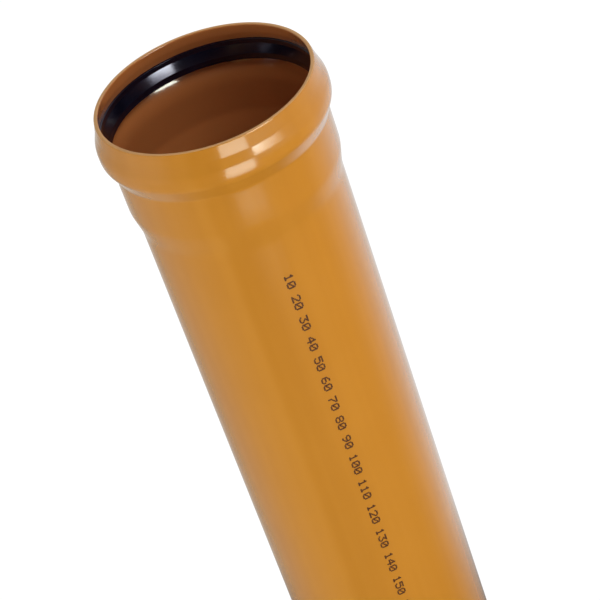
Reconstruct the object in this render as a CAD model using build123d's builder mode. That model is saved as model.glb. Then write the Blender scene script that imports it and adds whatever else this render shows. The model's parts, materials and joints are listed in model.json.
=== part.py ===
"""Sewer pipe of plain PVC-U with a belled push-fit socket and its rubber lip ring.

The pipe stands on its spigot end on the axis +Z, with the socket's mouth at the top.
Depths are measured down from the mouth, and radii from the axis, in millimetres.
"""

from build123d import *
import math
import os

# Barrel
PIPE_OD = 200.0
PIPE_WALL = 3.9
BUILT_LENGTH = 1000.0

# Chamfer on the outside of the spigot end
CHAMFER_LENGTH = 9.0
CHAMFER_ANGLE = 15.0

# Socket cylinder, and the shoulder that leads down to the barrel
SPIGOT_CLEARANCE = 0.8
INSERTION_DEPTH = 95.0
SHOULDER_LENGTH = 23.2
SHOULDER_TOP_BEND = 36.0
SHOULDER_FOOT_BEND = 64.0

# Lip round the mouth, which flares down into the groove
MOUTH_FLARE = 0.8
LIP_HEIGHT = 10.5
LIP_FLARE = 2.1
LIP_BEND = 24.0
RIM_ROUND = 1.3
RIM_BEVEL = 0.8

# Groove for the ring, which shows outside as the bead
GROOVE_DEPTH = 8.2
GROOVE_TOP = 25.2
GROOVE_HEIGHT = 10.0
GROOVE_TOP_BEND = 21.0
GROOVE_FOOT_BEND = 11.0
SEAT_HEIGHT = 18.0
SEAT_BEND = 24.0

# Lip ring: its setbacks are measured outwards from the socket bore
RING_SEAT_CLEARANCE = 0.15
RING_TOP_DEPTH = 18.3
RING_TOP_SETBACK = 3.9
RING_BROW_DEPTH = 22.8
RING_BROW_SETBACK = 3.6
RING_KNEE_DEPTH = 32.5
RING_KNEE_SETBACK = 0.1
RING_LIP_DEPTH = 38.2
RING_LIP_PROUD = 0.3
RING_LIP_ROUND = 1.0
RING_HEEL_DEPTH = 40.0
RING_HEEL_SETBACK = 2.2

barrel_radius = PIPE_OD / 2
barrel_bore = barrel_radius - PIPE_WALL
socket_bore = barrel_radius + SPIGOT_CLEARANCE
mouth_bore = socket_bore + MOUTH_FLARE
lip_bore = mouth_bore + LIP_FLARE
groove_bore = socket_bore + GROOVE_DEPTH
mouth_height = BUILT_LENGTH + INSERTION_DEPTH
groove_foot = GROOVE_TOP + GROOVE_HEIGHT
seat_foot = groove_foot + SEAT_HEIGHT
chamfer_inset = CHAMFER_LENGTH * math.tan(math.radians(CHAMFER_ANGLE))

# Slopes of the groove's two flanks, which the ring's ends are square to
flank_slope = (groove_bore - lip_bore) / (GROOVE_TOP - LIP_HEIGHT)
seat_slope = GROOVE_DEPTH / SEAT_HEIGHT
beyond_groove = groove_bore + PIPE_WALL
ring_top_rise = flank_slope * (beyond_groove - socket_bore - RING_TOP_SETBACK)
ring_heel_fall = seat_slope * (beyond_groove - socket_bore - RING_HEEL_SETBACK)


def at(radius, depth):
    """A point of the section, from its radius and its depth below the mouth."""
    return radius, mouth_height - depth


def inner_line():
    """The wall's inside, from the foot of the barrel to a lip's height above the mouth."""
    return FilletPolyline(
        (barrel_bore, 0),
        at(barrel_bore, INSERTION_DEPTH + SHOULDER_LENGTH),
        at(socket_bore, INSERTION_DEPTH),
        at(socket_bore, seat_foot),
        at(groove_bore, groove_foot),
        at(groove_bore, GROOVE_TOP),
        at(lip_bore, LIP_HEIGHT),
        at(mouth_bore - LIP_FLARE, -LIP_HEIGHT),
        radius=[
            SHOULDER_FOOT_BEND,
            SHOULDER_TOP_BEND,
            SEAT_BEND,
            GROOVE_FOOT_BEND,
            GROOVE_TOP_BEND,
            LIP_BEND,
        ],
    )


# Pipe: one wall of even thickness, formed into the socket and cut square at the mouth
with BuildPart() as pipe:
    with BuildSketch(Plane.XZ):
        with BuildLine():
            inner_line()
            offset(amount=PIPE_WALL, side=Side.RIGHT)
        make_face()
        with BuildLine():
            Polyline(
                (barrel_radius, 0),
                (barrel_radius, CHAMFER_LENGTH),
                (barrel_radius - chamfer_inset, 0),
                close=True,
            )
        make_face(mode=Mode.SUBTRACT)
    revolve(axis=Axis.Z)
    split(bisect_by=Plane.XY.offset(mouth_height), keep=Keep.BOTTOM)
    inner_rim = pipe.edges().group_by(Axis.Z)[-1].sort_by(SortBy.RADIUS)[0]
    chamfer(inner_rim, length=RIM_BEVEL)
    outer_rim = pipe.edges().group_by(Axis.Z)[-1].sort_by(SortBy.RADIUS)[-1]
    fillet(outer_rim, radius=RIM_ROUND)
pipe.part.label = "pipe"

# Lip ring: it fills the groove to the seat clearance, and its lip stands into the bore
with BuildPart() as sealing_ring:
    with BuildSketch(Plane.XZ):
        with BuildLine():
            inside = inner_line()
            Polyline(inside @ 1, (0, (inside @ 1).Y), (0, 0), inside @ 0)
        make_face()
        offset(amount=-RING_SEAT_CLEARANCE)
        with BuildLine():
            FilletPolyline(
                at(beyond_groove, RING_TOP_DEPTH - ring_top_rise),
                at(socket_bore + RING_TOP_SETBACK, RING_TOP_DEPTH),
                at(socket_bore + RING_BROW_SETBACK, RING_BROW_DEPTH),
                at(socket_bore + RING_KNEE_SETBACK, RING_KNEE_DEPTH),
                at(socket_bore - RING_LIP_PROUD, RING_LIP_DEPTH),
                at(socket_bore + RING_HEEL_SETBACK, RING_HEEL_DEPTH),
                at(beyond_groove, RING_HEEL_DEPTH + ring_heel_fall),
                radius=[0, 0, 0, 0, RING_LIP_ROUND, 0, 0],
                close=True,
            )
        make_face(mode=Mode.INTERSECT)
    revolve(axis=Axis.Z)
sealing_ring.part.label = "sealing_ring"

os.makedirs("parts", exist_ok=True)
export_step(pipe.part, "parts/pipe.step")
export_step(sealing_ring.part, "parts/sealing_ring.step")
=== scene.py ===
"""Looks of a socketed PVC sewer pipe and its rubber lip ring.

Everything is in metres, in the frame of the solid model: the pipe stands on its spigot end on
the axis +Z, with the socket's mouth at the top. Depths are measured down from the mouth, and
radii from the axis. Sections are lists of (radius, height), turned about the axis.
"""

import json
import math
from collections import namedtuple

import bpy
from mathutils import Matrix, Vector


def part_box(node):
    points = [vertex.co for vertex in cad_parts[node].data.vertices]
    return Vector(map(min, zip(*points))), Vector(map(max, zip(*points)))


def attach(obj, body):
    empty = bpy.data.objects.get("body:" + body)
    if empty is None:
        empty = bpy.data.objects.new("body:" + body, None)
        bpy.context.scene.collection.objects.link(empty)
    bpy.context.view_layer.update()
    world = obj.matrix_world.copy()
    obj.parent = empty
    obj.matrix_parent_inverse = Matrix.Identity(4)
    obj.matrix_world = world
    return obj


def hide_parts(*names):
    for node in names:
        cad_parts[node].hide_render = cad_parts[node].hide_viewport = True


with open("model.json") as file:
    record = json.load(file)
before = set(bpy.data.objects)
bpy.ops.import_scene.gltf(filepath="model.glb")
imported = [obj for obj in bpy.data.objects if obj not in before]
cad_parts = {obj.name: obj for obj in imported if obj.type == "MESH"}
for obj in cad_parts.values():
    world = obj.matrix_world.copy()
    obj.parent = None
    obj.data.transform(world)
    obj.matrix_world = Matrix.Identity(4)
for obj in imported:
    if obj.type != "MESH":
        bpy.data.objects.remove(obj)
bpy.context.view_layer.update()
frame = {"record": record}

MM = 0.001


def mount_radius(name):
    """Radius of one of the record's round mounts, in metres."""
    mounts = {mount["name"]: mount for mount in frame["record"]["mounts"]}
    return mounts[name]["dims"]["r_mm"] * MM


# Sizes that the solid model gives
MOUTH_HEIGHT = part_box("pipe")[1].z
BEAD_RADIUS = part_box("pipe")[1].x
BARREL_RADIUS = mount_radius("spigot")
BARREL_BORE = mount_radius("pipe_bore")
SOCKET_BORE = mount_radius("socket_bore")
WALL = BARREL_RADIUS - BARREL_BORE
GROOVE_BORE = BEAD_RADIUS - WALL

# Socket's inner line, as the solid model has it
INSERTION_DEPTH = 95 * MM
SHOULDER_LENGTH = 23.2 * MM
SHOULDER_TOP_BEND = 36 * MM
SHOULDER_FOOT_BEND = 64 * MM
MOUTH_FLARE = 0.8 * MM
LIP_BEND = 24 * MM
RIM_ROUND = 1.3 * MM
GROOVE_TOP = 25.2 * MM
GROOVE_HEIGHT = 10 * MM
GROOVE_TOP_BEND = 21 * MM
GROOVE_FOOT_BEND = 11 * MM

# Lip and seat (the slope under the bead), which differ a little between inside and outside
INSIDE = dict(lip_height=10.5 * MM, lip_flare=2.1 * MM, seat_height=17 * MM, seat_bend=60 * MM)
OUTSIDE = dict(lip_height=13.9 * MM, lip_flare=3.36 * MM, seat_height=16.4 * MM, seat_bend=12 * MM)

# Spigot end
CHAMFER_LENGTH = 9 * MM
CHAMFER_ANGLE = math.radians(15)
EDGE_ROUND = 0.25 * MM

# Lip ring: depths, and setbacks outwards from the socket bore
RING_SEAT_CLEARANCE = 0.15 * MM
RING_TOP = (18.3 * MM, 3.9 * MM)
RING_BROW = (22.8 * MM, 3.6 * MM)
RING_KNEE = (32.5 * MM, 0.1 * MM)
RING_LIP = (38.2 * MM, -0.3 * MM)
RING_HEEL = (40.0 * MM, 2.2 * MM)
RING_EDGE_ROUND = 0.3 * MM
RING_FACE_BEND = 2.5 * MM
RING_LIP_ROUND = 1.0 * MM

# Fineness of the turned meshes, and of the search for the ring's two ends
SIDES = 288
ARC_STEP = math.radians(3)
LONGEST_RUN = 30 * MM
SEARCH_STEP = 0.02 * MM

# Turn between two faces from which their edge stays sharp
SHARP_ANGLE = math.radians(32)


def at(radius, depth):
    """A section point, from its radius and its depth below the mouth."""
    return Vector((radius, MOUTH_HEIGHT - depth))


def bent_line(corners, bends):
    """Points of a line of straight runs whose inner corners are rounded to the given radii."""
    points = [corners[0]]
    for before, corner, after, bend in zip(corners, corners[1:], corners[2:], bends):
        into = (corner - before).normalized()
        out = (after - corner).normalized()
        turn = math.atan2(into.x * out.y - into.y * out.x, into.dot(out))
        steps = max(1, math.ceil(abs(turn) / ARC_STEP))
        start = corner - into * bend * math.tan(abs(turn) / 2)
        centre = start + Vector((-into.y, into.x)) * math.copysign(bend, turn)
        for step in range(steps + 1):
            points.append(centre + Matrix.Rotation(turn * step / steps, 2) @ (start - centre))
    return points + [corners[-1]]


def beside(line, distance):
    """The line moved sideways, to its right as it runs, by a distance."""
    moved = []
    for i, point in enumerate(line):
        into = (point - line[max(i - 1, 0)]).normalized()
        out = (line[min(i + 1, len(line) - 1)] - point).normalized()
        along = (into + out).normalized()
        stretch = along.dot(out if out.length else into)
        moved.append(point + Vector((along.y, -along.x)) * distance / stretch)
    return moved


def cut_at(line, height):
    """The line up to where it first rises through a height."""
    for i, point in enumerate(line):
        if point.y > height:
            below = line[i - 1]
            return line[:i] + [below.lerp(point, (height - below.y) / (point.y - below.y))]
    return line


def between(line, low, high):
    """The stretch of a rising line between two heights."""
    return cut_at(line, high)[len(cut_at(line, low)) - 1:]


def with_short_runs(loop):
    """The closed loop with its long straight runs divided evenly."""
    points = []
    for here, there in zip(loop, loop[1:] + loop[:1]):
        pieces = max(1, math.ceil((there - here).length / LONGEST_RUN))
        points += [here.lerp(there, piece / pieces) for piece in range(pieces)]
    return points


def wall_line(lip_height, lip_flare, seat_height, seat_bend):
    """The wall's inside, from the foot of the barrel to a lip's height above the mouth."""
    lip_bore = SOCKET_BORE + MOUTH_FLARE + lip_flare
    corners = [
        Vector((BARREL_BORE, 0)),
        at(BARREL_BORE, INSERTION_DEPTH + SHOULDER_LENGTH),
        at(SOCKET_BORE, INSERTION_DEPTH),
        at(SOCKET_BORE, GROOVE_TOP + GROOVE_HEIGHT + seat_height),
        at(GROOVE_BORE, GROOVE_TOP + GROOVE_HEIGHT),
        at(GROOVE_BORE, GROOVE_TOP),
        at(lip_bore, lip_height),
        at(lip_bore - 2 * lip_flare, -lip_height),
    ]
    bends = [SHOULDER_FOOT_BEND, SHOULDER_TOP_BEND, seat_bend, GROOVE_FOOT_BEND]
    return bent_line(corners, bends + [GROOVE_TOP_BEND, LIP_BEND])


def pipe_section():
    """The whole wall: bore, socket, rounded rim, outside and chamfered end."""
    inside = cut_at(wall_line(**INSIDE), MOUTH_HEIGHT)
    outside = cut_at(beside(wall_line(**OUTSIDE), WALL), MOUTH_HEIGHT)[::-1]
    chamfer_inset = CHAMFER_LENGTH * math.tan(CHAMFER_ANGLE)
    rim = bent_line([inside[-2], inside[-1], outside[0], outside[1]], [RIM_ROUND] * 2)
    chamfer_top = Vector((BARREL_RADIUS, CHAMFER_LENGTH))
    chamfer_foot = Vector((BARREL_RADIUS - chamfer_inset, 0))
    end = [outside[-2], chamfer_top, chamfer_foot, inside[0], inside[1]]
    foot = bent_line(end, [EDGE_ROUND] * 3)
    return with_short_runs(rim + outside[2:-2] + foot + inside[2:-2])


def ring_section():
    """The lip ring: a back that follows the groove, and a brow, knee, lip and heel in front."""
    seat = beside(wall_line(**INSIDE), -RING_SEAT_CLEARANCE)

    def face_point(place):
        """The point at a depth and at a setback from the socket bore."""
        depth, setback = place
        return at(SOCKET_BORE + setback, depth)

    def on_seat(place, slope):
        """Where the end face, square to its flank of the groove, meets the seat line."""
        point = face_point(place)
        reach = 0.0
        while True:
            reach += SEARCH_STEP
            beyond = point + Vector((reach, slope * reach))
            crossing = cut_at(seat, beyond.y)[-1]
            if beyond.x >= crossing.x:
                return crossing

    groove_depth = GROOVE_BORE - SOCKET_BORE
    flank_depth = groove_depth - MOUTH_FLARE - INSIDE["lip_flare"]
    flank_slope = flank_depth / (GROOVE_TOP - INSIDE["lip_height"])
    seat_slope = groove_depth / INSIDE["seat_height"]
    top = on_seat(RING_TOP, flank_slope)
    heel = on_seat(RING_HEEL, -seat_slope)
    front = [face_point(place) for place in (RING_TOP, RING_BROW, RING_KNEE, RING_LIP, RING_HEEL)]
    bends = [RING_EDGE_ROUND, RING_FACE_BEND, RING_FACE_BEND, RING_LIP_ROUND, RING_EDGE_ROUND]
    loop = bent_line([top, *front, heel], bends) + between(seat, heel.y, top.y)[1:-1]
    return loop[::-1]


def mesh_piece(name, points, faces, material):
    """A smooth-shaded mesh object of one material, with its real corners kept sharp."""
    mesh = bpy.data.meshes.new(name)
    mesh.from_pydata(points, [], faces)
    mesh.validate()
    mesh.shade_smooth()
    mesh.set_sharp_from_angle(angle=SHARP_ANGLE)
    mesh.materials.append(material)
    piece = bpy.data.objects.new(name, mesh)
    bpy.context.scene.collection.objects.link(piece)
    return piece


def turned(name, section, material):
    """A closed section turned about the axis."""
    count = len(section)
    points = []
    faces = []
    for side in range(SIDES):
        turn = 2 * math.pi * side / SIDES
        points += [(p.x * math.cos(turn), p.x * math.sin(turn), p.y) for p in section]
        here = side * count
        there = (side + 1) % SIDES * count
        for i in range(count):
            following = (i + 1) % count
            faces.append((here + i, here + following, there + following, there + i))
    return mesh_piece(name, points, faces, material)


# Printed line: plain counting numbers in a matrix of ink dots, which reads down the barrel
PRINT_AZIMUTH = math.radians(278)
PRINT_START = 161 * MM
PRINT_END = 700 * MM
PRINT_STEP = 10
COLUMN_PITCH = 1.5 * MM
ROW_PITCH = 1.22 * MM
MIDDLE_ROW = 3
DIGIT_COLUMNS = 6
SPACE_COLUMNS = 5
DOT_RADIUS = 1.02 * MM
DOT_RISE = 0.03 * MM
DOT_SIDES = 10
DIGITS = {
    "0": ("01110", "10001", "10011", "10101", "11001", "10001", "01110"),
    "1": ("00100", "01100", "00100", "00100", "00100", "00100", "01110"),
    "2": ("01110", "10001", "00001", "00010", "00100", "01000", "11111"),
    "3": ("11111", "00010", "00100", "00010", "00001", "10001", "01110"),
    "4": ("00010", "00110", "01010", "10010", "11111", "00010", "00010"),
    "5": ("11111", "10000", "11110", "00001", "00001", "10001", "01110"),
    "6": ("00110", "01000", "10000", "11110", "10001", "10001", "01110"),
    "7": ("11111", "00001", "00010", "00100", "01000", "01000", "01000"),
    "8": ("01110", "10001", "10001", "01110", "10001", "10001", "01110"),
    "9": ("01110", "10001", "10001", "01111", "00001", "00010", "01100"),
}

# Edge and flat top of an ink dot, as shares of its radius and of its rise
DOT_EDGE = (1.0, 0.2)
DOT_TOP = (0.6, 1.0)


def dot_places():
    """(azimuth, height) of each ink dot, from the first number to the end of the printed line."""
    places = []
    number = PRINT_STEP
    depth = PRINT_START
    while depth < PRINT_END:
        for digit in str(number):
            for row, marks in enumerate(DIGITS[digit]):
                across = (MIDDLE_ROW - row) * ROW_PITCH / BARREL_RADIUS
                for column, mark in enumerate(marks):
                    if mark == "1":
                        height = MOUTH_HEIGHT - depth - column * COLUMN_PITCH
                        places.append((PRINT_AZIMUTH + across, height))
            depth += DIGIT_COLUMNS * COLUMN_PITCH
        depth += SPACE_COLUMNS * COLUMN_PITCH
        number += PRINT_STEP
    return places


def ink_dots(material):
    """Low domes of ink on the barrel, all in one mesh."""
    points = []
    faces = []
    for azimuth, height in dot_places():
        edge = len(points)
        top = edge + DOT_SIDES
        for radius_share, rise_share in (DOT_EDGE, DOT_TOP):
            radius = DOT_RADIUS * radius_share
            out = BARREL_RADIUS + rise_share * DOT_RISE
            for side in range(DOT_SIDES):
                turn = 2 * math.pi * side / DOT_SIDES
                around = azimuth + radius * math.cos(turn) / BARREL_RADIUS
                z = height + radius * math.sin(turn)
                points.append((out * math.cos(around), out * math.sin(around), z))
        for side in range(DOT_SIDES):
            following = (side + 1) % DOT_SIDES
            faces.append((edge + side, edge + following, top + following, top + side))
        faces.append(tuple(top + side for side in range(DOT_SIDES)))
    return mesh_piece("ink_numbers", points, faces, material)


class Nodes:
    """Short calls for the nodes of one tree."""

    # Places of the colour sockets of a mix node
    MIX_INPUTS = (0, 6, 7)
    MIX_RESULT = 2

    def __init__(self, tree):
        self.tree = tree

    def plug(self, value, socket):
        """Sets a socket, by a link or as a plain value."""
        if isinstance(value, bpy.types.NodeSocket):
            self.tree.links.new(value, socket)
        else:
            socket.default_value = value

    def add(self, kind, *values, **settings):
        """A new node, with its settings and its first inputs given."""
        node = self.tree.nodes.new(kind)
        for name, setting in settings.items():
            setattr(node, name, setting)
        for value, socket in zip(values, node.inputs):
            self.plug(value, socket)
        return node

    def maths(self, operation, *values):
        """The result of one operation on the given values."""
        return self.add("ShaderNodeMath", *values, operation=operation).outputs[0]

    def aligned(self, first, second):
        """The scalar product of two directions."""
        node = self.add("ShaderNodeVectorMath", first, second, operation="DOT_PRODUCT")
        return node.outputs["Value"]

    def ranged(self, value, low, high, to_low=0.0, to_high=1.0, easing="LINEAR"):
        """The value carried from one range to another, held at both ends."""
        node = self.add("ShaderNodeMapRange", value, low, high, to_low, to_high,
                        interpolation_type=easing)
        return node.outputs[0]

    def mixed(self, factor, first, second):
        """A blend of two colours."""
        node = self.add("ShaderNodeMix", data_type="RGBA")
        for value, place in zip((factor, first, second), self.MIX_INPUTS):
            self.plug(value, node.inputs[place])
        return node.outputs[self.MIX_RESULT]

    def mixed_shaders(self, factor, first, second):
        """A blend of two shaders."""
        return self.add("ShaderNodeMixShader", factor, first, second).outputs[0]

    def light_path(self):
        """Sockets that are 1 for rays from the camera, and for rays that a gloss or glass sends."""
        rays = self.add("ShaderNodeLightPath").outputs
        mirrored = self.maths("MAXIMUM", rays["Is Glossy Ray"], rays["Is Transmission Ray"])
        return rays["Is Camera Ray"], mirrored


class Material(Nodes):
    """A new material, with patterns that are placed on the object."""

    # Scale that leaves a place's way from the axis, without its height
    LEVEL = (1, 1, 0)

    def __init__(self, name):
        self.material = bpy.data.materials.new(name)
        self.material.use_nodes = True
        super().__init__(self.material.node_tree)
        self.surface = self.tree.nodes["Principled BSDF"]
        coordinates = self.add("ShaderNodeTexCoord")
        self.place = coordinates.outputs["Object"]
        self.facing = coordinates.outputs["Normal"]

    def give(self, name, value):
        """Sets one of the surface's own inputs."""
        self.plug(value, self.surface.inputs[name])

    def noise(self, scale, stretch=(1, 1, 1), detail=3.0, place=None):
        """Noise from 0 to 1. A stretch under 1 draws it out along that axis."""
        mapping = self.add("ShaderNodeMapping", place or self.place)
        mapping.inputs["Scale"].default_value = stretch
        texture = self.add("ShaderNodeTexNoise", mapping.outputs[0])
        texture.inputs["Scale"].default_value = scale
        texture.inputs["Detail"].default_value = detail
        return texture.outputs["Fac"]

    def bump(self, height, depth, under=None):
        """A bump of the given depth in metres, on top of an earlier one."""
        node = self.add("ShaderNodeBump")
        node.inputs["Strength"].default_value = 1.0
        node.inputs["Distance"].default_value = depth
        self.plug(height, node.inputs["Height"])
        if under:
            self.plug(under, node.inputs["Normal"])
        return node.outputs[0]

    def axis_place(self):
        """(radius, 0, height) of the shaded point, for patterns that run round the axis."""
        x, y, z = self.add("ShaderNodeSeparateXYZ", self.place).outputs
        squares = self.maths("ADD", self.maths("MULTIPLY", x, x), self.maths("MULTIPLY", y, y))
        radius = self.maths("SQRT", squares)
        joined = self.add("ShaderNodeCombineXYZ", radius, 0.0, z)
        return joined.outputs[0], radius, z

    def inward(self):
        """1 where the surface faces the axis, and 0 elsewhere."""
        away = self.add("ShaderNodeVectorMath", self.place, self.LEVEL, operation="MULTIPLY")
        return self.maths("LESS_THAN", self.aligned(self.facing, away.outputs[0]), 0.0)


# Range that most of a noise falls in
NOISE_SPREAD = (0.3, 0.7)

# Pipe's colours and its surface. The colours are as it shows them in even light, but for the inside
# colour, which is painted shade.
PVC_COLOUR = (0.55, 0.222, 0.025, 1)
PVC_DEEP = (0.517, 0.203, 0.021, 1)
# Painted shade: a greyer, bluer copy of the same plastic's colour, for the dim light inside the bore
PVC_INSIDE_PAINTED_SHADE = (0.56, 0.192, 0.056, 1)
PVC_CUT = (0.70, 0.37, 0.13, 1)
TINT_BY_LINES = 0.6
TINT_BY_CLOUD = 0.4
PVC_IOR = 1.5
PVC_ROUGHNESS = (0.15, 0.21)
CUT_ROUGHNESS = 0.25
SKIN_ROUGHNESS = 0.08
SWELL_DEPTH = 0.12 * MM
DRAW_LINE_DEPTH = 0.012 * MM
GRAIN_DEPTH = 0.003 * MM
TOOL_MARK_DEPTH = 0.05 * MM

# Where the sawn look starts and is full: depths at the rim, and heights at the spigot end
RIM_CUT = (0.5 * MM, 0.1 * MM)
END_CUT = (0.25 * MM, 0.05 * MM)

# Room between the bore and where the chamfer's look may start
CHAMFER_OFF_BORE = 1 * MM

# Ring's colours and surface
RUBBER_COLOUR = (0.004, 0.004, 0.009, 1)
RUBBER_BLOOM = (0.007, 0.008, 0.018, 1)
RUBBER_SHEEN = (0.79, 0.75, 1, 1)
RUBBER_IOR = 1.52
RUBBER_ROUGHNESS = (0.14, 0.20)
RUBBER_COAT = 0.4
RUBBER_COAT_ROUGHNESS = 0.12
MOULD_RING_DEPTH = 0.006 * MM
RUBBER_GRAIN_DEPTH = 0.001 * MM

# Ink's colours and surface
INK_COLOUR = (0.070, 0.022, 0.007, 1)
INK_WORN = (0.15, 0.050, 0.012, 1)
INK_ROUGHNESS = (0.38, 0.55)
INK_SPECULAR = 0.2


def pvc_material():
    """Extruded PVC-U: semi-gloss with draw lines along it, paler where it was sawn or turned, and a
    greyer colour on its inside that is painted shade.
    """
    pvc = Material("pvc_u")
    around, radius, z = pvc.axis_place()
    draw_lines = pvc.noise(scale=420, stretch=(1, 1, 0.006), detail=4)
    broad_lines = pvc.noise(scale=60, stretch=(1, 1, 0.02), detail=2)
    cloud = pvc.noise(scale=9, detail=2)
    swell = pvc.noise(scale=26, stretch=(1, 1, 0.35), detail=1)
    grain = pvc.noise(scale=1500, detail=2)
    tool_marks = pvc.noise(scale=2600, detail=2, place=around)

    rim = pvc.ranged(z, *(MOUTH_HEIGHT - depth for depth in RIM_CUT))
    end = pvc.ranged(z, *END_CUT)
    off_bore = pvc.maths("GREATER_THAN", radius, BARREL_BORE + CHAMFER_OFF_BORE)
    chamfer = pvc.maths("MULTIPLY", pvc.maths("LESS_THAN", z, CHAMFER_LENGTH), off_bore)
    cut = pvc.maths("MAXIMUM", rim, pvc.maths("MAXIMUM", end, chamfer))
    uncut = pvc.maths("SUBTRACT", 1.0, cut)

    lines_part = pvc.maths("MULTIPLY", broad_lines, TINT_BY_LINES)
    cloud_part = pvc.maths("MULTIPLY", cloud, TINT_BY_CLOUD)
    tint = pvc.ranged(pvc.maths("ADD", lines_part, cloud_part), low=0.35, high=0.65)
    outside = pvc.mixed(tint, PVC_DEEP, PVC_COLOUR)
    # Faces towards the axis take the bore's painted-shade colour
    body = pvc.mixed(pvc.inward(), outside, PVC_INSIDE_PAINTED_SHADE)
    gloss = pvc.ranged(draw_lines, *NOISE_SPREAD, *PVC_ROUGHNESS)
    dulled = pvc.maths("MULTIPLY", cut, CUT_ROUGHNESS)

    relief = pvc.bump(swell, SWELL_DEPTH)
    relief = pvc.bump(pvc.maths("MULTIPLY", draw_lines, uncut), DRAW_LINE_DEPTH, relief)
    relief = pvc.bump(grain, GRAIN_DEPTH, relief)
    relief = pvc.bump(pvc.maths("MULTIPLY", tool_marks, cut), TOOL_MARK_DEPTH, relief)

    pvc.give("Base Color", pvc.mixed(cut, body, PVC_CUT))
    pvc.give("Roughness", pvc.maths("ADD", gloss, dulled))
    pvc.give("IOR", PVC_IOR)
    pvc.give("Normal", relief)
    pvc.give("Coat Weight", uncut)
    pvc.give("Coat Roughness", SKIN_ROUGHNESS)
    pvc.give("Coat Normal", relief)
    return pvc.material


def rubber_material():
    """Moulded black rubber: a smooth skin with faint mould rings and a grey-blue bloom."""
    rubber = Material("ring_rubber")
    around, _, _ = rubber.axis_place()
    mould_rings = rubber.noise(scale=1400, detail=1, place=around)
    bloom = rubber.noise(scale=38, detail=4)
    grain = rubber.noise(scale=2400, detail=2)
    tint = rubber.ranged(bloom, low=0.35, high=0.7)
    relief = rubber.bump(mould_rings, MOULD_RING_DEPTH)
    rubber.give("Base Color", rubber.mixed(tint, RUBBER_COLOUR, RUBBER_BLOOM))
    rubber.give("Roughness", rubber.ranged(bloom, *NOISE_SPREAD, *RUBBER_ROUGHNESS))
    rubber.give("IOR", RUBBER_IOR)
    rubber.give("Normal", rubber.bump(grain, RUBBER_GRAIN_DEPTH, relief))
    rubber.give("Specular Tint", RUBBER_SHEEN)
    rubber.give("Coat Weight", RUBBER_COAT)
    rubber.give("Coat Roughness", RUBBER_COAT_ROUGHNESS)
    rubber.give("Coat Tint", RUBBER_SHEEN)
    return rubber.material


def ink_material():
    """Jet-printed ink, thinner in places."""
    ink = Material("print_ink")
    wear = ink.noise(scale=700, detail=3)
    tint = ink.ranged(wear, low=0.4, high=0.75)
    ink.give("Base Color", ink.mixed(tint, INK_COLOUR, INK_WORN))
    ink.give("Roughness", ink.ranged(wear, *NOISE_SPREAD, *INK_ROUGHNESS))
    ink.give("Specular IOR Level", INK_SPECULAR)
    return ink.material


def make_object():
    """The dressed pipe, its ring and its printed numbers, riding on the one body."""
    pipe = turned("pipe_wall", pipe_section(), pvc_material())
    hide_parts("pipe")
    ring = turned("lip_ring", ring_section(), rubber_material())
    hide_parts("sealing_ring")
    numbers = ink_dots(ink_material())
    for piece in (pipe, ring, numbers):
        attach(piece, "root")


# Studio as a gloss shows it: dark behind the camera, white to the right and behind the pipe,
# and warm to the left. Turns are measured from GAP_AZIMUTH, and those to the right are positive.
AMBIENT = 0.13
WHITE = (1, 1, 1, 1)
GAP_AZIMUTH = math.radians(283)
STEP_COLOUR = (1, 0.68, 0.26, 1)
STEP_LEVEL = 0.40
STEP_EDGE = (math.radians(-44), math.radians(-58))
LEFT_COLOUR = (1, 0.92, 0.78, 1)
LEFT_LEVEL = 0.36
LEFT_RISE = (math.radians(-60), math.radians(-112))
RIGHT_LEVEL = 0.70
RIGHT_EDGE = (math.radians(48), math.radians(122))
RIGHT_FALL = (math.radians(158), math.radians(180))
BACK_LEVEL = 0.22
BACK_EDGE = (math.radians(155), math.radians(178))

# Floor: its own colour, its white for the camera, and how far from the axis it stays dark
FLOOR_SIZE = 60
FLOOR_COLOUR = (0.6, 0.6, 0.6, 1)
FLOOR_WHITE = 1.12
FLOOR_SHADOW_SHARE = 0.12
FLOOR_DARK_WITHIN = 0.30
FLOOR_BRIGHT_BEYOND = 0.65


def surroundings(nodes, direction, kind):
    """The studio that a gloss shows in a level direction, as a shader of the given kind."""
    ahead = (math.cos(GAP_AZIMUTH), math.sin(GAP_AZIMUTH), 0)
    aside = (-math.sin(GAP_AZIMUTH), math.cos(GAP_AZIMUTH), 0)
    turn = nodes.maths("ARCTAN2", nodes.aligned(direction, aside), nodes.aligned(direction, ahead))
    either_way = nodes.maths("ABSOLUTE", turn)
    step = nodes.ranged(turn, *STEP_EDGE, 0.0, STEP_LEVEL, easing="SMOOTHSTEP")
    rise = nodes.ranged(turn, *LEFT_RISE)
    fall = nodes.ranged(turn, *RIGHT_FALL, RIGHT_LEVEL, LEFT_LEVEL)
    right = nodes.ranged(turn, *RIGHT_EDGE, 0.0, fall, easing="SMOOTHSTEP")
    back = nodes.ranged(either_way, *BACK_EDGE, 0.0, BACK_LEVEL)
    near_left = nodes.add(kind, STEP_COLOUR, step).outputs[0]
    far_left = nodes.add(kind, LEFT_COLOUR, LEFT_LEVEL).outputs[0]
    left = nodes.mixed_shaders(rise, near_left, far_left)
    others = nodes.add(kind, WHITE, nodes.maths("ADD", right, back)).outputs[0]
    return nodes.add("ShaderNodeAddShader", left, others).outputs[0]


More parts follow.
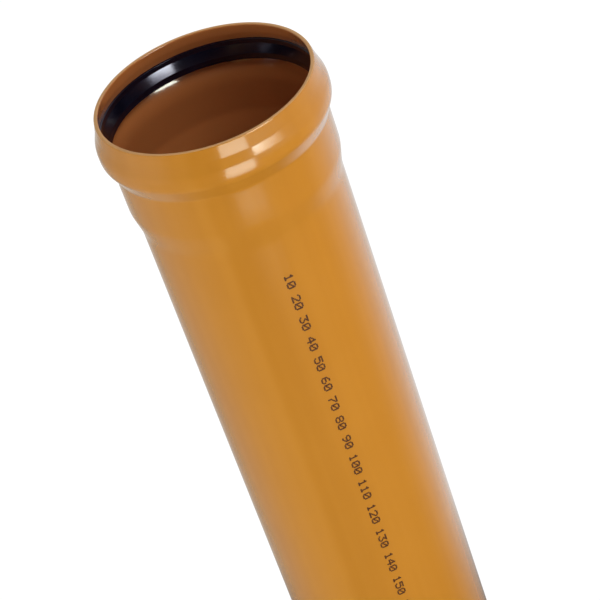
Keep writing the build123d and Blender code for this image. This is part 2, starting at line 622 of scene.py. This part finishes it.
def make_world():
    """White for the camera, the studio for reflections, and an even soft light."""
    world = bpy.data.worlds.new("studio")
    world.use_nodes = True
    nodes = Nodes(world.node_tree)
    nodes.tree.nodes.clear()
    camera, mirrored = nodes.light_path()
    ambient = nodes.add("ShaderNodeBackground", WHITE, AMBIENT).outputs[0]
    white = nodes.add("ShaderNodeBackground", WHITE).outputs[0]
    direction = nodes.add("ShaderNodeTexCoord").outputs["Generated"]
    studio = surroundings(nodes, direction, "ShaderNodeBackground")
    lighting = nodes.mixed_shaders(mirrored, ambient, studio)
    nodes.add("ShaderNodeOutputWorld", nodes.mixed_shaders(camera, lighting, white))
    bpy.context.scene.world = world


def make_floor():
    """A wide pale floor, white to the camera but for a share that keeps the shadow."""
    bpy.ops.mesh.primitive_plane_add(size=FLOOR_SIZE)
    floor = bpy.context.object
    floor.name = "studio_floor"
    material = bpy.data.materials.new("studio_floor")
    material.use_nodes = True
    nodes = Nodes(material.node_tree)
    nodes.tree.nodes.clear()
    camera, mirrored = nodes.light_path()
    matt = nodes.add("ShaderNodeBsdfDiffuse", FLOOR_COLOUR).outputs[0]
    white = nodes.add("ShaderNodeEmission", WHITE, FLOOR_WHITE).outputs[0]
    dark = nodes.add("ShaderNodeEmission", WHITE, 0.0).outputs[0]
    place = nodes.add("ShaderNodeTexCoord").outputs["Object"]
    away = nodes.add("ShaderNodeVectorMath", place, operation="LENGTH").outputs["Value"]
    clear = nodes.ranged(away, FLOOR_DARK_WITHIN, FLOOR_BRIGHT_BEYOND)
    studio = surroundings(nodes, place, "ShaderNodeEmission")
    reflected = nodes.mixed_shaders(clear, dark, studio)
    seen = nodes.mixed_shaders(FLOOR_SHADOW_SHARE, white, matt)
    lighting = nodes.mixed_shaders(mirrored, matt, reflected)
    nodes.add("ShaderNodeOutputMaterial", nodes.mixed_shaders(camera, lighting, seen))
    floor.data.materials.append(material)


Softbox = namedtuple("Softbox", "name azimuth elevation distance width height power lit mirrored")

# Softboxes, placed from the mouth: angles in degrees, distances and sizes in metres, and power
# in watts. The lit ones light matt surfaces, and the mirrored ones show in glossy ones.
SOFTBOXES = [
    Softbox("key_softbox", 305, 9.5, 2.0, 0.88, 0.30, 18.0, lit=False, mirrored=True),
    Softbox("upper_softbox", 308, 18, 2.0, 0.90, 0.22, 9.5, lit=False, mirrored=True),
    Softbox("front_softbox", 276.5, -16.6, 1.75, 0.81, 0.977, 9.3, lit=True, mirrored=True),
    Softbox("key_fill", 309, -1, 2.4, 1.6, 1.6, 27.5, lit=True, mirrored=False),
    Softbox("left_fill", 190, -8, 2.5, 2.0, 1.9, 53.0, lit=True, mirrored=False),
    Softbox("right_fill", 345, -3, 2.5, 1.6, 1.6, 15.5, lit=True, mirrored=False),
    Softbox("top_fill", 325, 60, 2.2, 1.5, 1.5, 22.0, lit=True, mirrored=False),
    Softbox("back_fill", 80, 0, 2.5, 1.8, 1.8, 20.0, lit=True, mirrored=False),
]
MIRRORED_COLOUR = (0.93, 1, 0.88)


def make_softbox(box):
    """A soft area lamp that faces the mouth, and doesn't show itself to the camera."""
    azimuth = math.radians(box.azimuth)
    elevation = math.radians(box.elevation)
    way = Vector((
        math.cos(azimuth) * math.cos(elevation),
        math.sin(azimuth) * math.cos(elevation),
        math.sin(elevation),
    ))
    lamp = bpy.data.lights.new(box.name, "AREA")
    lamp.shape = "RECTANGLE"
    lamp.size = box.width
    lamp.size_y = box.height
    lamp.energy = box.power
    if box.mirrored:
        lamp.color = MIRRORED_COLOUR
    softbox = bpy.data.objects.new(box.name, lamp)
    softbox.location = Vector((0, 0, MOUTH_HEIGHT)) + way * box.distance
    softbox.rotation_euler = way.to_track_quat("Z", "Y").to_euler()
    softbox.visible_camera = False
    softbox.visible_diffuse = box.lit
    softbox.visible_glossy = box.mirrored
    bpy.context.scene.collection.objects.link(softbox)


# Camera, as it stood for the photograph: distances in metres, lens and sensor in millimetres
CAMERA_BACK = 1.79431
CAMERA_ABOVE_MOUTH = 1.02735
CAMERA_YAW = math.radians(0.5656)
CAMERA_PITCH = math.radians(-35.7312)
CAMERA_ROLL = math.radians(-19.7313)
CAMERA_LENS = 134.85
CAMERA_SENSOR = 36
CAMERA_NEAREST = 0.05
CAMERA_FARTHEST = 100


def make_camera():
    """The camera, looking down at the socket, and rolled as in the photograph."""
    cam = bpy.data.cameras.new("camera")
    cam.lens = CAMERA_LENS
    cam.sensor_width = CAMERA_SENSOR
    cam.clip_start = CAMERA_NEAREST
    cam.clip_end = CAMERA_FARTHEST
    camera = bpy.data.objects.new("camera", cam)
    forward = Vector((
        math.sin(CAMERA_YAW) * math.cos(CAMERA_PITCH),
        math.cos(CAMERA_YAW) * math.cos(CAMERA_PITCH),
        math.sin(CAMERA_PITCH),
    ))
    level = Vector((math.cos(CAMERA_YAW), -math.sin(CAMERA_YAW), 0))
    upright = level.cross(forward)
    right = math.cos(CAMERA_ROLL) * level + math.sin(CAMERA_ROLL) * upright
    up = math.cos(CAMERA_ROLL) * upright - math.sin(CAMERA_ROLL) * level
    turned_to = Matrix((right, up, -forward)).transposed().to_4x4()
    place = Vector((0, -CAMERA_BACK, MOUTH_HEIGHT + CAMERA_ABOVE_MOUTH))
    camera.matrix_world = Matrix.Translation(place) @ turned_to
    bpy.context.scene.collection.objects.link(camera)
    bpy.context.scene.camera = camera


make_camera()
make_object()
make_world()
make_floor()
for box in SOFTBOXES:
    make_softbox(box)
bpy.context.scene.view_settings.view_transform = "Standard"
